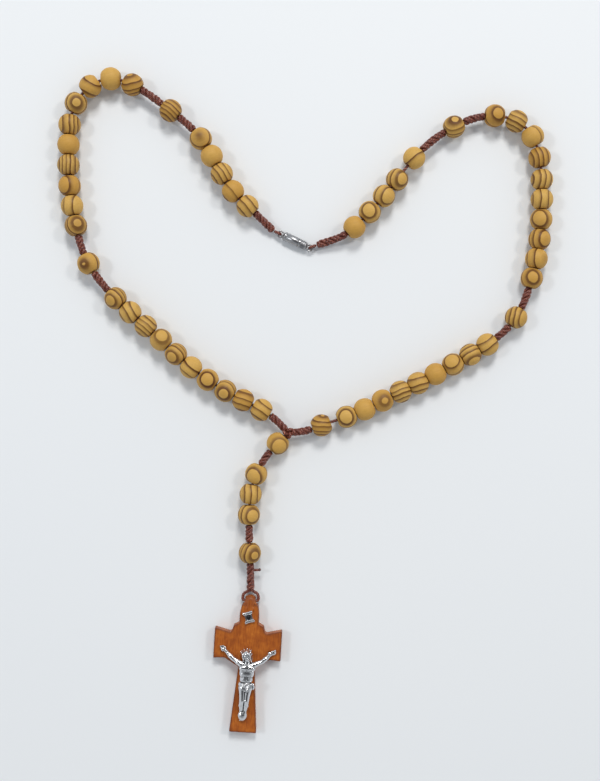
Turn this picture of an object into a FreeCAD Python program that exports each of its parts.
"""A wooden rosary laid out flat: five decades of beads on knotted cord, a barrel clasp in the
loop, and a tail of five beads that ends in a small crucifix.

Millimetres, +Z up. The origin is the middle of the footprint, on the surface that the rosary
rests on. +Y points away from the crucifix, towards the top of the loop.
"""
import FreeCAD, Part
import math
import os
import Sketcher

Vector = FreeCAD.Vector
Rotation = FreeCAD.Rotation
Placement = FreeCAD.Placement

# Driving dimensions, in millimetres and degrees.
SIZES = {
    "bead_diameter": 8.0,
    "bead_length": 6.8,
    "bead_bore": 2.2,
    "cord_diameter": 1.1,
    "knot_diameter": 3.0,
    "knot_end_diameter": 2.0,
    "knot_taper": 0.9,
    "knot_bore": 1.5,
    "centre_knot_diameter": 3.2,
    "cord_start": 1.1,
    "pivot_gap": 0.5,
    "knot_gap": 0.3,
    "cord_gap": 0.15,
    "clasp_diameter": 3.2,
    "clasp_end_diameter": 1.6,
    "clasp_dome": 0.7,
    "clasp_face_gap": 0.05,
    "post_half_length": 5.9,
    "post_length": 1.5,
    "post_root_diameter": 1.7,
    "post_tip_diameter": 1.2,
    "socket_half_length": 3.3,
    "socket_ring_width": 0.8,
    "socket_diameter": 2.9,
    "socket_bore": 2.1,
    "socket_depth": 1.9,
    "eye_radius": 1.1,
    "eye_wire": 0.6,
    "clasp_loop_cord": 1.0,
    "cross_thickness": 4.0,
    "tip_radius": 2.15,
    "neck_length": 2.3,
    "cross_hole": 1.7,
    "head_width": 6.9,
    "head_start": 3.4,
    "head_end": 8.0,
    "step_width": 10.6,
    "step_start": 8.9,
    "shoulder_width": 11.8,
    "shoulder_start": 10.9,
    "notch_width": 13.0,
    "notch_start": 11.4,
    "arm_span": 24.0,
    "arm_end_top": 10.0,
    "arm_end_bottom": 20.85,
    "arm_flat_width": 16.2,
    "arm_flat_bottom": 20.5,
    "shaft_width": 5.8,
    "shaft_start": 23.5,
    "foot_width": 9.7,
    "cross_length": 46.8,
    "nail_hole": 0.9,
    "nail_diameter": 0.7,
    "nail_head_diameter": 1.3,
    "nail_head_height": 0.45,
    "nail_head_gap": 0.1,
    "nail_depth": 2.2,
    "nail_tip_gap": 0.1,
    "plaque_width": 4.3,
    "plaque_height": 3.4,
    "plaque_thickness": 0.6,
    "plaque_roll": 1.1,
    "loop_cord": 1.1,
    "cut_end_distance": 3.2,
    "cut_end_reach": 1.2,
    "cut_end_slant": 0.5,
    "cut_end_diameter": 0.9,
    "melted_tip_diameter": 1.2,
}

# Corners of the cord's three routes. Each starts at the centre knot.
LEFT_ROUTE = [
    (-6.1, -11.4, 4.0),
    (-10.5, -6.4, 4.0),
    (-17.7, -2.0, 4.0),
    (-29.6, 3.8, 4.0),
    (-41.6, 12.2, 4.0),
    (-52.0, 22.4, 4.0),
    (-62.8, 31.7, 4.0),
    (-72.5, 41.4, 4.0),
    (-78.8, 51.1, 4.0),
    (-82.1, 63.6, 4.0),
    (-84.1, 76.6, 4.0),
    (-84.4, 90.6, 4.0),
    (-83.6, 102.6, 4.0),
    (-78.4, 111.0, 4.0),
    (-70.1, 115.4, 4.0),
    (-60.4, 112.3, 4.0),
    (-49.1, 104.2, 4.0),
    (-38.2, 95.4, 4.0),
    (-31.6, 84.2, 4.0),
    (-26.4, 74.6, 4.0),
    (-18.6, 67.4, 4.0),
    (-14.7, 63.8, 2.7),
    (-11.35, 60.7, 1.7),
]
RIGHT_ROUTE = [
    (-6.1, -11.4, 4.0),
    (-0.6, -11.3, 4.0),
    (6.1, -8.6, 4.0),
    (17.9, -4.8, 4.0),
    (30.9, 1.7, 4.0),
    (43.9, 8.0, 4.0),
    (57.0, 15.3, 4.0),
    (68.6, 22.1, 4.0),
    (76.3, 30.5, 4.0),
    (80.7, 43.1, 4.0),
    (83.5, 56.6, 4.0),
    (84.3, 70.6, 4.0),
    (84.1, 83.6, 4.0),
    (81.5, 94.8, 4.0),
    (73.4, 101.0, 4.0),
    (62.4, 101.6, 4.0),
    (50.2, 96.4, 4.0),
    (39.6, 87.9, 4.0),
    (30.0, 75.0, 4.0),
    (21.2, 65.0, 4.0),
    (14.2, 58.8, 4.0),
    (8.9, 57.0, 2.6),
    (4.1, 55.6, 1.7),
]
TAIL_ROUTE = [
    (-6.1, -11.4, 4.0),
    (-9.7, -15.1, 4.0),
    (-14.7, -20.6, 4.0),
    (-18.7, -28.4, 4.0),
    (-20.1, -37.4, 4.0),
    (-20.0, -46.9, 4.0),
    (-19.6, -57.6, 4.0),
    (-19.5, -63.4, 3.1),
    (-19.6, -68.2, 2.1),
]

# Each run of beads: name, distance along the cord to its first bead, pitch and count.
LEFT_BEADS = [
    ("decade_1_lower_beads", 12.6, 7.3, 5),
    ("decade_1_upper_beads", 49.1, 7.3, 5),
    ("our_father_bead_1", 94.1, 0.0, 1),
    ("decade_2_lower_beads", 108.3, 7.25, 5),
    ("decade_2_upper_beads", 144.5, 8.0, 5),
    ("our_father_bead_2", 193.0, 0.0, 1),
    ("decade_3_left_beads", 207.6, 7.35, 5),
]
RIGHT_BEADS = [
    ("decade_5_sliding_bead", 12.3, 0.0, 1),
    ("decade_5_lower_beads", 21.7, 7.04, 4),
    ("decade_5_upper_beads", 49.86, 7.04, 5),
    ("our_father_bead_4", 92.2, 0.0, 1),
    ("decade_4_lower_beads", 107.3, 7.1, 5),
    ("decade_4_upper_beads", 142.7, 8.0, 5),
    ("our_father_bead_3", 190.1, 0.0, 1),
    ("decade_3_sliding_bead", 208.0, 0.0, 1),
    ("decade_3_right_beads", 217.8, 7.6, 4),
]
TAIL_BEADS = [
    ("tail_upper_bead", 5.3, 0.0, 1),
    ("tail_hail_mary_bead_1", 18.7, 0.0, 1),
    ("tail_hail_mary_bead_2", 26.2, 0.0, 1),
    ("tail_hail_mary_bead_3", 33.6, 0.0, 1),
    ("tail_lower_bead", 47.2, 0.0, 1),
]

# Each barrel knot: name, the bead run before it, the one after it, and whether the cord's
# pivot lies at the knot's far end. None stands for the centre knot or the end of the route.
LEFT_KNOTS = [
    ("knot_left_1", None, "decade_1_lower_beads", True),
    ("knot_left_2", "decade_1_upper_beads", "our_father_bead_1", True),
    ("knot_left_3", "our_father_bead_1", "decade_2_lower_beads", False),
    ("knot_left_4", "decade_2_upper_beads", "our_father_bead_2", True),
    ("knot_left_5", "our_father_bead_2", "decade_3_left_beads", False),
    ("knot_left_6", "decade_3_left_beads", None, False),
]
RIGHT_KNOTS = [
    ("knot_right_1", None, "decade_5_sliding_bead", True),
    ("knot_right_2", "decade_5_upper_beads", "our_father_bead_4", True),
    ("knot_right_3", "our_father_bead_4", "decade_4_lower_beads", False),
    ("knot_right_4", "decade_4_upper_beads", "our_father_bead_3", True),
    ("knot_right_5", "our_father_bead_3", "decade_3_sliding_bead", False),
    ("knot_right_6", "decade_3_right_beads", None, False),
]
TAIL_KNOTS = [
    ("knot_tail_1", "tail_upper_bead", "tail_hail_mary_bead_1", False),
    ("knot_tail_2", "tail_hail_mary_bead_3", "tail_lower_bead", True),
    ("knot_tail_3", "tail_lower_bead", None, False),
]
TAIL_FIRST_PIVOT = ("tail_upper_bead", "knot_tail_1")

CENTRE_KNOT = Vector(*LEFT_ROUTE[0])
CROSS_HOLE = Vector(-19.6, -71.45, 2.0)
CROSS_LEAN = -3.4
CLASP_SEAM = Vector(-2.5, 56.5, 1.7)
CLASP_TURN = -25.4
RIGHT_LOOP_TURN = 20.0
POST_EYE = -7.0
SOCKET_EYE = 4.4


class Route:
    """The cord's centre line: straight runs joined by arcs that touch both of their runs."""

    CORNER_SHARE = 0.45

    def __init__(self, corners):
        corners = [Vector(*corner) for corner in corners]
        self.pieces = []
        self.radii = []
        self.length = 0.0
        here = corners[0]
        for before, corner, after in zip(corners, corners[1:], corners[2:]):
            arriving = (corner - before).normalize()
            leaving = (after - corner).normalize()
            shorter = min((corner - before).Length, (after - corner).Length)
            cut = self.CORNER_SHARE * shorter
            half_turn = arriving.getAngle(leaving) / 2
            radius = cut / math.tan(half_turn)
            inward = (leaving - arriving).normalize()
            centre = corner + inward * (radius / math.cos(half_turn))
            self.add_line(here, corner - arriving * cut)
            self.add_arc(centre, radius, corner - arriving * cut, arriving, 2 * half_turn)
            here = corner + leaving * cut
            self.radii.append(radius)
        self.add_line(here, corners[-1])

    def add_line(self, start, end):
        length = (end - start).Length
        self.pieces.append(("line", self.length, length, start, (end - start).normalize()))
        self.length += length

    def add_arc(self, centre, radius, start, arriving, turn):
        length = radius * turn
        outward = (start - centre) * (1 / radius)
        self.pieces.append(("arc", self.length, length, centre, (radius, outward, arriving)))
        self.length += length

    def place(self, piece, distance):
        """The point and the direction of one piece at a distance along the whole route."""
        kind, start, _, origin, shape = piece
        along = distance - start
        if kind == "line":
            return origin + shape * along, shape
        radius, outward, arriving = shape
        angle = along / radius
        spoke = outward * math.cos(angle) + arriving * math.sin(angle)
        heading = arriving * math.cos(angle) - outward * math.sin(angle)
        return origin + spoke * radius, heading

    def at(self, distance):
        """The point and the direction at any distance, straight on past both ends."""
        for piece in self.pieces:
            if distance <= piece[1] + piece[2]:
                return self.place(piece, distance)
        return self.place(self.pieces[-1], distance)

    def wire(self, start, end):
        """The stretch of the route between two distances."""
        edges = []
        for piece in self.pieces:
            first = max(start, piece[1])
            last = min(end, piece[1] + piece[2])
            if piece is self.pieces[0]:
                first = start
            if piece is self.pieces[-1]:
                last = end
            if last - first < 1e-6:
                continue
            from_point = self.place(piece, first)[0]
            to_point = self.place(piece, last)[0]
            if piece[0] == "line":
                edges.append(Part.LineSegment(from_point, to_point).toShape())
            else:
                middle = self.place(piece, (first + last) / 2)[0]
                edges.append(Part.Arc(from_point, middle, to_point).toShape())
        return Part.Wire(edges)

    def tube(self, start, end, radius):
        """A round rod along the route between two distances."""
        point, heading = self.at(start)
        ring = Part.Wire(Part.makeCircle(radius, point, heading))
        return self.wire(start, end).makePipeShell([ring], True, False)


def add_sheet(doc):
    """The spreadsheet of driving dimensions."""
    sheet = doc.addObject("Spreadsheet::Sheet", "sizes")
    for row, (alias, value) in enumerate(SIZES.items(), start=1):
        sheet.set("A%d" % row, alias)
        sheet.set("B%d" % row, str(value))
        sheet.setAlias("B%d" % row, alias)
    doc.recompute()


def size(name):
    """A driving dimension, as the spreadsheet holds it."""
    return float(FreeCAD.ActiveDocument.getObject("sizes").get(name))


def along(direction):
    """The rotation that turns +Z to a direction."""
    return Rotation(Vector(0, 0, 1), direction)


def bind(item, **expressions):
    """Binds an object's properties to the spreadsheet."""
    for name, expression in expressions.items():
        item.setExpression(name, expression)
    return item


def finish_part(item, label, placement=None):
    """Names a finished sub-part and puts it in its place."""
    item.Label = label
    if placement is not None:
        item.Placement = placement
    return item


def primitive(doc, kind, name, placement=None, **expressions):
    item = doc.addObject("Part::" + kind, name)
    bind(item, **expressions)
    if placement is not None:
        item.Placement = placement
    return item


def difference(doc, name, base, tool):
    cut = doc.addObject("Part::Cut", name)
    cut.Base = base
    cut.Tool = tool
    return cut


def union(doc, name, items):
    fuse = doc.addObject("Part::MultiFuse", name)
    fuse.Shapes = items
    return fuse


def add_bead(doc, name, point, heading):
    """A ball with both poles cut flat and a bore from pole to pole."""
    ball = primitive(
        doc,
        "Sphere",
        name + "_ball",
        Radius="sizes.bead_diameter / 2",
        Angle1="-asin(sizes.bead_length / sizes.bead_diameter)",
        Angle2="asin(sizes.bead_length / sizes.bead_diameter)",
    )
    bore = primitive(
        doc,
        "Cylinder",
        name + "_bore",
        Radius="sizes.bead_bore / 2",
        Height="sizes.bead_diameter",
    )
    bind(bore, **{"Placement.Base.z": "-sizes.bead_diameter / 2"})
    bead = difference(doc, name + "_bead", ball, bore)
    bead.Placement = Placement(point, along(heading))
    return bead


def bead_seat(route, distance):
    """The centre and the axis of a bead, level with the surface that it rests on. The centre
    is halfway between the cord's arc and its chord."""
    half = size("bead_length") / 2
    near = route.at(distance - half)[0]
    far = route.at(distance + half)[0]
    centre = (near + far) * 0.25 + route.at(distance)[0] * 0.5
    centre.z = size("bead_diameter") / 2
    return centre, far - near


def add_beads(doc, route, runs):
    """Makes every run of beads, and returns where each run begins and ends on the cord."""
    half = size("bead_length") / 2
    parts = []
    spans = {}
    for label, first, pitch, count in runs:
        beads = []
        for index in range(count):
            point, heading = bead_seat(route, first + index * pitch)
            beads.append(add_bead(doc, "%s_%d" % (label, index + 1), point, heading))
        spans[label] = (first - half, first + (count - 1) * pitch + half)
        if count == 1:
            parts.append(finish_part(beads[0], label))
        else:
            group = doc.addObject("Part::Compound", label + "_group")
            group.Links = beads
            parts.append(finish_part(group, label))
    return parts, spans


def add_solid(doc, label, shape, origin):
    """Holds a shape made in the rosary's frame, as a sub-part placed at its own origin."""
    item = doc.addObject("Part::Feature", label + "_solid")
    item.Shape = shape.transformed(Placement(origin * -1, Rotation()).toMatrix(), True)
    return finish_part(item, label, Placement(origin, Rotation()))


def add_knot(doc, label, route, start, end):
    """A barrel of cord wraps around the cord, tapered at both ends."""
    taper = size("knot_taper")
    radius = size("knot_diameter") / 2
    end_radius = size("knot_end_diameter") / 2
    barrel = route.tube(start + taper, end - taper, radius)
    for distance, way in ((start + taper, -1), (end - taper, 1)):
        point, heading = route.at(distance)
        cone = Part.makeCone(radius, end_radius, taper, point, heading * way)
        barrel = barrel.fuse(cone)
    bore = route.tube(start - taper, end + taper, size("knot_bore") / 2)
    return add_solid(doc, label, barrel.cut(bore), route.at(start)[0])


def add_knots(doc, route, knots, spans):
    """Makes a strand's barrel knots, and returns the distance of each pivot on the cord."""
    parts = []
    pivots = []
    for label, before, after, pivots_after in knots:
        start = size("centre_knot_diameter") / 2 + size("knot_gap")
        end = route.length - size("knot_gap")
        if before is not None:
            start = spans[before][1] + size("knot_gap")
        if (before, label) == TAIL_FIRST_PIVOT:
            start = spans[before][1] + size("pivot_gap")
            pivots.append(start - size("pivot_gap") / 2)
        if after is not None:
            end = spans[after][0] - size("knot_gap")
        if pivots_after:
            end = spans[after][0] - size("pivot_gap")
            pivots.append(end + size("pivot_gap") / 2)
        parts.append(add_knot(doc, label, route, start, end))
    return parts, pivots


def cord_tube(route, start, end):
    """One stretch of cord, checked against its section times its length."""
    radius = size("cord_diameter") / 2
    tube = route.tube(start, end, radius)
    expected = math.pi * radius**2 * (end - start)
    if abs(tube.Volume - expected) > 0.01 * expected:
        raise ValueError("a cord tube has volume %.2f and not %.2f" % (tube.Volume, expected))
    return tube


def add_cords(doc, routes, pivots):
    """The cord, cut at its pivots. The first stretches all belong to the centre knot."""
    gap = size("cord_gap")
    starts = []
    parts = []
    for name, route in routes.items():
        ends = [size("cord_start") - gap] + pivots[name] + [route.length]
        starts.append(cord_tube(route, ends[0] + gap, ends[1] - gap))
        for number, (start, end) in enumerate(zip(ends[1:], ends[2:]), start=1):
            label = "cord_%s_%d" % (name, number)
            end_gap = 0.0 if end == route.length else gap
            tube = cord_tube(route, start + gap, end - end_gap)
            parts.append(add_solid(doc, label, tube, route.at(start + gap)[0]))
    parts.append(add_solid(doc, "cord_centre", Part.makeCompound(starts), CENTRE_KNOT))
    return parts


def add_centre_knot(doc, routes):
    """The knot where both sides of the loop and the tail meet, with a bore for each cord."""
    radius = size("centre_knot_diameter") / 2
    half_height = 0.9 * radius
    rim = 0.5 * radius
    half_outline = [
        Vector(0, 0, -half_height),
        Vector(0.7 * radius, 0, -half_height),
        Vector(radius, 0, -rim),
        Vector(radius, 0, rim),
        Vector(0.7 * radius, 0, half_height),
        Vector(0, 0, half_height),
        Vector(0, 0, -half_height),
    ]
    face = Part.Face(Part.makePolygon(half_outline))
    knot = face.revolve(Vector(), Vector(0, 0, 1), 360)
    knot.translate(CENTRE_KNOT)
    start = size("cord_start") - size("knot_gap")
    for route in routes.values():
        point, heading = route.at(start)
        reach = size("centre_knot_diameter")
        knot = knot.cut(Part.makeCylinder(size("knot_bore") / 2, reach, point, heading))
    return add_solid(doc, "centre_knot", knot, CENTRE_KNOT)


def total(terms):
    """The value of a sum of factors times driving dimensions."""
    return sum(factor * size(alias) for alias, factor in terms.items())


def expression(terms):
    """The same sum, as an expression that reads the spreadsheet."""
    return " + ".join("%s * sizes.%s" % (factor, alias) for alias, factor in terms.items())


def origin_plane(body, role):
    return next(item for item in body.Origin.OriginFeatures if item.Role == role)


def add_outline(body, name, plane, corners, tip_arc=None):
    """A closed sketch. Each corner is a pair of sums that set its place. tip_arc, a radius,
    joins the last corner to the first by an arc about the sketch's origin."""
    sketch = body.newObject("Sketcher::SketchObject", name)
    sketch.AttachmentSupport = (origin_plane(body, plane), [""])
    sketch.MapMode = "FlatFace"
    points = [Vector(total(across), total(up), 0) for across, up in corners]
    lines = len(points) - 1 if tip_arc else len(points)
    for index in range(lines):
        segment = Part.LineSegment(points[index], points[(index + 1) % len(points)])
        sketch.addGeometry(segment, False)
    for index in range(lines - 1):
        sketch.addConstraint(Sketcher.Constraint("Coincident", index, 2, index + 1, 1))
    if tip_arc:
        circle = Part.Circle(Vector(0, 0, 0), Vector(0, 0, 1), total(tip_arc))
        arc = sketch.addGeometry(Part.ArcOfCircle(circle, 0, math.pi), False)
        sketch.addConstraint(Sketcher.Constraint("Coincident", arc, 3, -1, 1))
        sketch.addConstraint(Sketcher.Constraint("Coincident", arc, 1, 0, 1))
        sketch.addConstraint(Sketcher.Constraint("Coincident", arc, 2, lines - 1, 2))
    else:
        sketch.addConstraint(Sketcher.Constraint("Coincident", lines - 1, 2, 0, 1))
    for index, (across, up) in enumerate(corners):
        vertex = (index, 1) if index < lines else (index - 1, 2)
        for kind, terms in (("DistanceX", across), ("DistanceY", up)):
            if tip_arc and index == len(corners) - 1 and kind == "DistanceX":
                continue
            value = total(terms)
            number = sketch.addConstraint(Sketcher.Constraint(kind, -1, 1, *vertex, value))
            sketch.setExpression("Constraints[%d]" % number, expression(terms))
    return sketch


def revolve(body, sketch):
    """Turns a half outline about the body's X axis."""
    turned = body.newObject("PartDesign::Revolution", sketch.Name + "_turned")
    turned.Profile = sketch
    turned.ReferenceAxis = (origin_plane(body, "X_Axis"), [""])
    turned.Angle = 360.0
    body.Tip = turned
    return turned


def clasp_placement(distance=0.0):
    """A place on the clasp's axis, at a distance from the seam between its halves."""
    turn = Rotation(Vector(0, 0, 1), CLASP_TURN)
    point = CLASP_SEAM + turn.multVec(Vector(distance, 0, 0))
    return Placement(point, turn)


def add_clasp_eye(doc, name, distance):
    """The flat wire eye on the end of a clasp half, in the clasp's own frame."""
    return primitive(
        doc,
        "Torus",
        name,
        Placement(Vector(distance, 0, 0), Rotation()),
        Radius1="sizes.eye_radius",
        Radius2="sizes.eye_wire / 2",
    )


def add_clasp(doc):
    """Both halves of the barrel clasp. Both are turned about X, with the seam at X = 0."""
    barrel = {"clasp_diameter": 0.5}
    small_end = {"clasp_end_diameter": 0.5}
    body = doc.addObject("PartDesign::Body", "post_half_body")
    corners = [
        ({"post_half_length": -1}, {"post_length": 0}),
        ({"post_half_length": -1}, small_end),
        ({"post_half_length": -1, "clasp_dome": 1}, barrel),
        ({"clasp_face_gap": -1}, barrel),
        ({"clasp_face_gap": -1}, {"post_length": 0}),
    ]
    revolve(body, add_outline(body, "post_half_outline", "XY_Plane", corners))
    post_eye = add_clasp_eye(doc, "post_eye", POST_EYE)
    post_half = union(doc, "post_half", [body, post_eye])
    post = primitive(
        doc,
        "Cone",
        "screw_post",
        Radius1="sizes.post_root_diameter / 2",
        Radius2="sizes.post_tip_diameter / 2",
        Height="sizes.post_length + sizes.clasp_face_gap",
    )
    post_end = clasp_placement(-size("clasp_face_gap"))
    post_end.Rotation = post_end.Rotation.multiply(Rotation(Vector(0, 1, 0), 90))

    ring_end = {"clasp_face_gap": 1, "socket_ring_width": 1}
    body = doc.addObject("PartDesign::Body", "socket_half_body")
    corners = [
        ({"clasp_face_gap": 1}, {"socket_bore": 0.5}),
        ({"clasp_face_gap": 1}, barrel),
        (ring_end, barrel),
        (ring_end, {"socket_diameter": 0.5}),
        ({"socket_half_length": 1, "clasp_dome": -1}, {"socket_diameter": 0.5}),
        ({"socket_half_length": 1}, small_end),
        ({"socket_half_length": 1}, {"socket_bore": 0}),
        ({"socket_depth": 1}, {"socket_bore": 0}),
        ({"socket_depth": 1}, {"socket_bore": 0.5}),
    ]
    revolve(body, add_outline(body, "socket_half_outline", "XY_Plane", corners))
    socket_eye = add_clasp_eye(doc, "socket_eye", SOCKET_EYE)
    socket_half = union(doc, "socket_half", [body, socket_eye])
    return [
        finish_part(post_half, "clasp_post_half", clasp_placement()),
        finish_part(post, "clasp_screw_post", post_end),
        finish_part(socket_half, "clasp_socket_half", clasp_placement()),
    ]


def add_clasp_loops(doc):
    """The upright cord loop through each eye of the clasp, on the side away from the seam."""
    parts = []
    upright = Rotation(Vector(1, 0, 0), 90)
    reach = size("eye_radius")
    for label, eye, turn, way in (
        ("clasp_loop_left", POST_EYE, CLASP_TURN, -1),
        ("clasp_loop_right", SOCKET_EYE, RIGHT_LOOP_TURN, 1),
    ):
        heading = Rotation(Vector(0, 0, 1), turn)
        middle = clasp_placement(eye).Base + heading.multVec(Vector(way * reach, 0, 0))
        loop = primitive(
            doc,
            "Torus",
            label + "_ring",
            Radius1="sizes.eye_radius",
            Radius2="sizes.clasp_loop_cord / 2",
        )
        parts.append(finish_part(loop, label, Placement(middle, heading.multiply(upright))))
    return parts


def cross_point(across, down, height):
    """A place on the crucifix, measured from its hanging hole when it lies flat."""
    turn = Rotation(Vector(0, 0, 1), CROSS_LEAN)
    offset = turn.multVec(Vector(across, -down, 0))
    return Vector(CROSS_HOLE.x + offset.x, CROSS_HOLE.y + offset.y, height)


def cross_placement(across=0.0, down=0.0, height=0.0, turn=0.0):
    rotation = Rotation(Vector(0, 0, 1), CROSS_LEAN + turn)
    return Placement(cross_point(across, down, height), rotation)


# Where the corpus is nailed to the cross, and the plaque above it: across, down.
HAND_NAILS = [(-8.6, 17.3), (8.0, 17.9)]
FOOT_NAIL = (-1.0, 40.6)
PLAQUE_CENTRE = (-0.2, 5.6)
PLAQUE_TURN = 18.0
HAND_TOP = 1.3
FOOT_TOP = 1.5
NAIL_HEAD_LIFT = 0.02


def add_cross(doc):
    """The flat wooden cross, with flared arms and foot and a rounded tip with a side hole."""
    half = {
        "tip": {"tip_radius": 1},
        "head": {"head_width": 0.5},
        "step": {"step_width": 0.5},
        "shoulder": {"shoulder_width": 0.5},
        "notch": {"notch_width": 0.5},
        "arm": {"arm_span": 0.5},
        "arm_flat": {"arm_flat_width": 0.5},
        "shaft": {"shaft_width": 0.5},
        "foot": {"foot_width": 0.5},
    }
    right_side = [
        ("tip", {"tip_radius": 0}),
        ("head", {"head_start": -1}),
        ("head", {"head_end": -1}),
        ("step", {"step_start": -1}),
        ("shoulder", {"shoulder_start": -1}),
        ("notch", {"notch_start": -1}),
        ("arm", {"arm_end_top": -1}),
        ("arm", {"arm_end_bottom": -1}),
        ("arm_flat", {"arm_flat_bottom": -1}),
        ("shaft", {"shaft_start": -1}),
        ("foot", {"cross_length": -1}),
    ]
    corners = [(half[name], up) for name, up in right_side]
    for name, up in reversed(right_side):
        mirrored = {alias: -factor for alias, factor in half[name].items()}
        corners.append((mirrored, up))
    body = doc.addObject("PartDesign::Body", "cross_body")
    tip_arc = {"tip_radius": 1}
    outline = add_outline(body, "cross_outline", "XY_Plane", corners, tip_arc)
    slab = body.newObject("PartDesign::Pad", "cross_slab")
    slab.Profile = outline
    slab.setExpression("Length", "sizes.cross_thickness")
    body.Tip = slab
    doc.recompute()

    side_hole = primitive(
        doc,
        "Cylinder",
        "cross_side_hole",
        Radius="sizes.cross_hole / 2",
        Height="sizes.arm_span",
    )
    side_hole.Placement = Placement(Vector(), Rotation(Vector(0, 1, 0), 90))
    bind(
        side_hole,
        **{
            "Placement.Base.x": "-sizes.arm_span / 2",
            "Placement.Base.z": "sizes.cross_thickness / 2",
        },
    )
    holes = [side_hole]
    for index, (across, down) in enumerate(HAND_NAILS + [FOOT_NAIL, PLAQUE_CENTRE]):
        hole = primitive(
            doc,
            "Cylinder",
            "nail_hole_%d" % index,
            Radius="sizes.nail_hole / 2",
            Height="sizes.cross_thickness",
        )
        hole.Placement = Placement(Vector(across, -down, 0), Rotation())
        bind(
            hole,
            **{"Placement.Base.z": "sizes.cross_thickness - sizes.nail_depth"},
        )
        holes.append(hole)
    # A round neck that ends in a ball about the side hole turns clear of the cord loop.
    ball = primitive(doc, "Sphere", "tip_ball", Radius="sizes.tip_radius")
    neck = primitive(
        doc,
        "Cylinder",
        "tip_neck",
        Placement(Vector(), Rotation(Vector(1, 0, 0), 90)),
        Radius="sizes.tip_radius",
        Height="sizes.neck_length",
    )
    for item in (ball, neck):
        bind(item, **{"Placement.Base.z": "sizes.cross_thickness / 2"})
    below = primitive(
        doc,
        "Box",
        "below_neck",
        Length="sizes.arm_span * 1.5",
        Width="sizes.cross_length * 1.5",
        Height="sizes.cross_thickness",
    )
    bind(
        below,
        **{
            "Placement.Base.x": "-sizes.arm_span * 0.75",
            "Placement.Base.y": "-sizes.cross_length * 1.5 - sizes.neck_length",
        },
    )
    envelope = union(doc, "cross_envelope", [ball, neck, below])
    rounded = doc.addObject("Part::MultiCommon", "rounded_cross")
    rounded.Shapes = [body, envelope]
    cross = difference(doc, "drilled_cross", rounded, union(doc, "cross_holes", holes))
    return finish_part(cross, "crucifix_cross", cross_placement())


def add_plaque(doc):
    """The small scroll above the head: a plate between two rolled edges, with a nail hole."""
    plate = primitive(
        doc,
        "Box",
        "plaque_plate",
        Length="sizes.plaque_width",
        Width="sizes.plaque_height",
        Height="sizes.plaque_thickness",
    )
    bind(
        plate,
        **{
            "Placement.Base.x": "-sizes.plaque_width / 2",
            "Placement.Base.y": "-sizes.plaque_height / 2",
        },
    )
    pieces = [plate]
    for name, side in (("upper", "1"), ("lower", "-1")):
        roll = primitive(
            doc,
            "Cylinder",
            "plaque_%s_roll" % name,
            Placement(Vector(), Rotation(Vector(0, 1, 0), 90)),
            Radius="sizes.plaque_roll / 2",
            Height="sizes.plaque_width",
        )
        bind(
            roll,
            **{
                "Placement.Base.x": "-sizes.plaque_width / 2",
                "Placement.Base.y": side + " * sizes.plaque_height / 2",
                "Placement.Base.z": "sizes.plaque_roll / 2",
            },
        )
        pieces.append(roll)
    hole = primitive(
        doc,
        "Cylinder",
        "plaque_hole",
        Radius="sizes.nail_hole / 2",
        Height="sizes.cross_thickness",
    )
    plaque = difference(doc, "drilled_plaque", union(doc, "plaque_sheet", pieces), hole)
    across, down = PLAQUE_CENTRE
    place = cross_placement(across, down, size("cross_thickness"), PLAQUE_TURN)
    return finish_part(plaque, "title_plaque", place)


def rod(start, end, start_radius, end_radius):
    """A tapered limb with a slightly fuller ball at each end."""
    fuller = 1.06
    axis = end - start
    if start_radius == end_radius:
        limb = Part.makeCylinder(start_radius, axis.Length, start, axis)
    else:
        limb = Part.makeCone(start_radius, end_radius, axis.Length, start, axis)
    joints = [
        Part.makeSphere(fuller * start_radius, start),
        Part.makeSphere(fuller * end_radius, end),
    ]
    return limb.fuse(joints)


def add_corpus(doc):
    """The figure on the cross, as plain rounded limbs, cut flat where it lies on the wood.
    Places are across, up and out from the cross's face, measured from the hanging hole."""
    neck = Vector(-0.5, -20.6, 1.7)
    hips = Vector(-0.6, -29.4, 1.5)
    knees = Vector(-0.6, -34.6, 2.0)
    feet = Vector(-1.0, -41.0, 0.9)
    limbs = [
        rod(Vector(-0.4, -23.2, 1.6), hips, 2.1, 1.7),
        rod(neck, Vector(-0.4, -22.6, 1.6), 0.8, 1.3),
        Part.makeSphere(1.55, Vector(-1.1, -18.7, 2.1)),
        rod(hips, knees, 1.9, 1.25),
        rod(knees, feet, 1.25, 0.8),
    ]
    for side, (across, down) in zip((-1, 1), HAND_NAILS):
        shoulder = Vector(-0.4 + side * 1.7, -22.4, 1.5)
        elbow = Vector(-0.4 + side * 4.9, -20.2, 1.1)
        hand = Vector(across, -down, 0.6)
        limbs.append(rod(shoulder, elbow, 0.85, 0.7))
        limbs.append(rod(elbow, hand, 0.7, 0.7))
    figure = limbs[0].fuse(limbs[1:])
    reach = size("cross_length")
    wood = Part.makeBox(2 * reach, 2 * reach, reach, Vector(-reach, -2 * reach, -reach))
    figure = figure.cut(wood)
    for (across, down), top in zip(HAND_NAILS + [FOOT_NAIL], (HAND_TOP, HAND_TOP, FOOT_TOP)):
        foot = Vector(across, -down, -1)
        figure = figure.cut(Part.makeCylinder(size("nail_hole") / 2, reach, foot))
        above = Vector(across, -down, top)
        head_room = size("nail_head_diameter") / 2 + size("nail_head_gap")
        figure = figure.cut(Part.makeCylinder(head_room, reach, above))
    item = doc.addObject("Part::Feature", "corpus_solid")
    item.Shape = figure
    return finish_part(item, "corpus", cross_placement(height=size("cross_thickness")))


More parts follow.
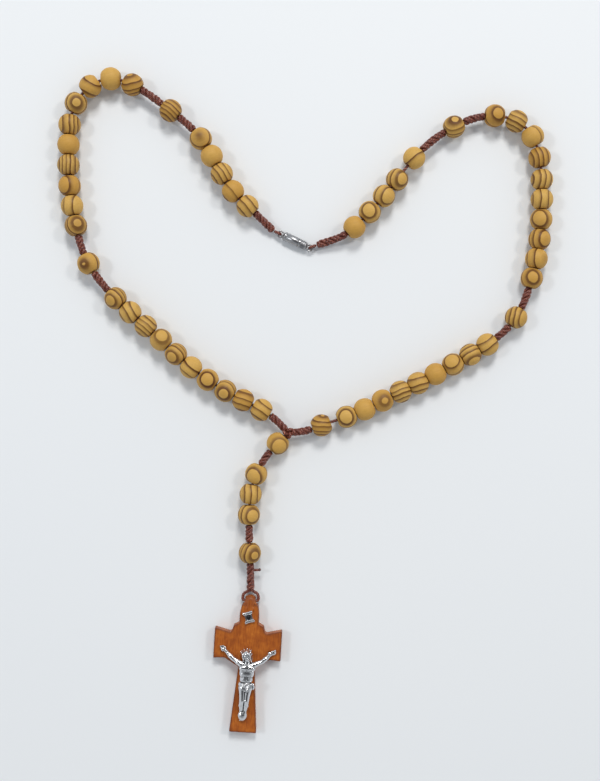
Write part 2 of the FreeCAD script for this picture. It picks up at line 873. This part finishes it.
def add_nails(doc):
    """The nails through both hands and the feet, and the one that holds the plaque."""
    face = size("cross_thickness")
    tops = [HAND_TOP, HAND_TOP, FOOT_TOP, size("plaque_thickness")]
    nails = []
    for index, (place, top) in enumerate(zip(HAND_NAILS + [FOOT_NAIL, PLAQUE_CENTRE], tops)):
        shank = primitive(
            doc,
            "Cylinder",
            "nail_shank_%d" % index,
            Radius="sizes.nail_diameter / 2",
            Height="sizes.nail_depth + %s" % top,
        )
        bind(shank, **{"Placement.Base.z": "sizes.nail_tip_gap - sizes.nail_depth"})
        head = primitive(
            doc,
            "Cone",
            "nail_head_%d" % index,
            Placement(Vector(0, 0, top + NAIL_HEAD_LIFT), Rotation()),
            Radius1="sizes.nail_head_diameter / 2",
            Radius2="sizes.nail_head_diameter / 4",
            Height="sizes.nail_head_height",
        )
        nail = union(doc, "nail_%d" % index, [shank, head])
        nail.Placement = cross_placement(*place, height=face)
        nails.append(nail)
    group = doc.addObject("Part::Compound", "nails")
    group.Links = nails
    return finish_part(group, "fixing_nails")


def add_crucifix_loop(doc):
    """The cord loop through the hole in the crucifix's tip, with both legs in the last knot."""
    corners = [
        (-0.85, 2.95, 0),
        (-2.2, 2.45, 0),
        (-3.0, 1.4, 0),
        (-2.95, 0.0, 0),
        (0.0, -0.04, 0),
        (2.95, 0.0, 0),
        (3.0, 1.4, 0),
        (2.2, 2.45, 0),
        (0.85, 2.95, 0),
    ]
    loop = Route(corners).tube(0.0, Route(corners).length, size("loop_cord") / 2)
    item = doc.addObject("Part::Feature", "loop_solid")
    item.Shape = loop
    return finish_part(item, "crucifix_loop", cross_placement(height=CROSS_HOLE.z))


def add_cord_cut_end(doc, route, spans):
    """The short melted end of the cord, beside the last knot."""
    point, heading = route.at(spans["tail_lower_bead"][1] + size("cut_end_distance"))
    side = heading.cross(Vector(0, 0, 1)).normalize() * -1
    stub_start = point + side * (size("knot_diameter") / 2 + size("knot_gap"))
    run = side * size("cut_end_reach") - heading * size("cut_end_slant")
    stub = Part.makeCylinder(size("cut_end_diameter") / 2, run.Length, stub_start, run)
    stub = stub.fuse(Part.makeSphere(size("melted_tip_diameter") / 2, stub_start + run))
    return add_solid(doc, "cord_cut_end", stub, stub_start)


def check_and_write(doc, parts):
    """Stops on any object that failed, then writes one STEP file for each sub-part."""
    doc.recompute()
    for item in doc.Objects:
        if "Invalid" in item.State or "Error" in item.State:
            raise ValueError("%s failed: %s" % (item.Name, item.State))
    for item in parts:
        if item.Shape.isNull() or not item.Shape.isValid() or item.Shape.Volume <= 0:
            raise ValueError("%s has no valid shape" % item.Label)
    os.makedirs("parts", exist_ok=True)
    for name in os.listdir("parts"):
        os.remove(os.path.join("parts", name))
    for item in parts:
        item.Shape.exportStep("parts/%s.step" % item.Label)
    print("%d sub-parts written" % len(parts))


def main():
    doc = FreeCAD.newDocument("rosary")
    add_sheet(doc)
    routes = {
        "left": Route(LEFT_ROUTE),
        "right": Route(RIGHT_ROUTE),
        "tail": Route(TAIL_ROUTE),
    }
    runs = {"left": LEFT_BEADS, "right": RIGHT_BEADS, "tail": TAIL_BEADS}
    knots = {"left": LEFT_KNOTS, "right": RIGHT_KNOTS, "tail": TAIL_KNOTS}
    parts = []
    pivots = {}
    for name, route in routes.items():
        beads, spans = add_beads(doc, route, runs[name])
        barrels, pivots[name] = add_knots(doc, route, knots[name], spans)
        parts += beads + barrels
        radii = ", ".join("%.1f" % radius for radius in route.radii)
        print("%s cord: %.1f long, radii %s" % (name, route.length, radii))
    parts.append(add_cord_cut_end(doc, routes["tail"], spans))
    parts.append(add_centre_knot(doc, routes))
    parts += add_cords(doc, routes, pivots)
    parts += add_clasp(doc) + add_clasp_loops(doc)
    parts += [add_cross(doc), add_plaque(doc), add_corpus(doc), add_nails(doc)]
    parts.append(add_crucifix_loop(doc))
    check_and_write(doc, parts)
    for name, distances in pivots.items():
        for distance in distances:
            point = routes[name].at(distance)[0]
            print("%s pivot at %.2f, %.2f" % (name, point.x, point.y))
    for name, route in routes.items():
        for label, first, pitch, count in runs[name]:
            if count == 1:
                point, heading = route.at(first)
                print("%s at %s along %s" % (label, tuple(point), tuple(heading)))


main()
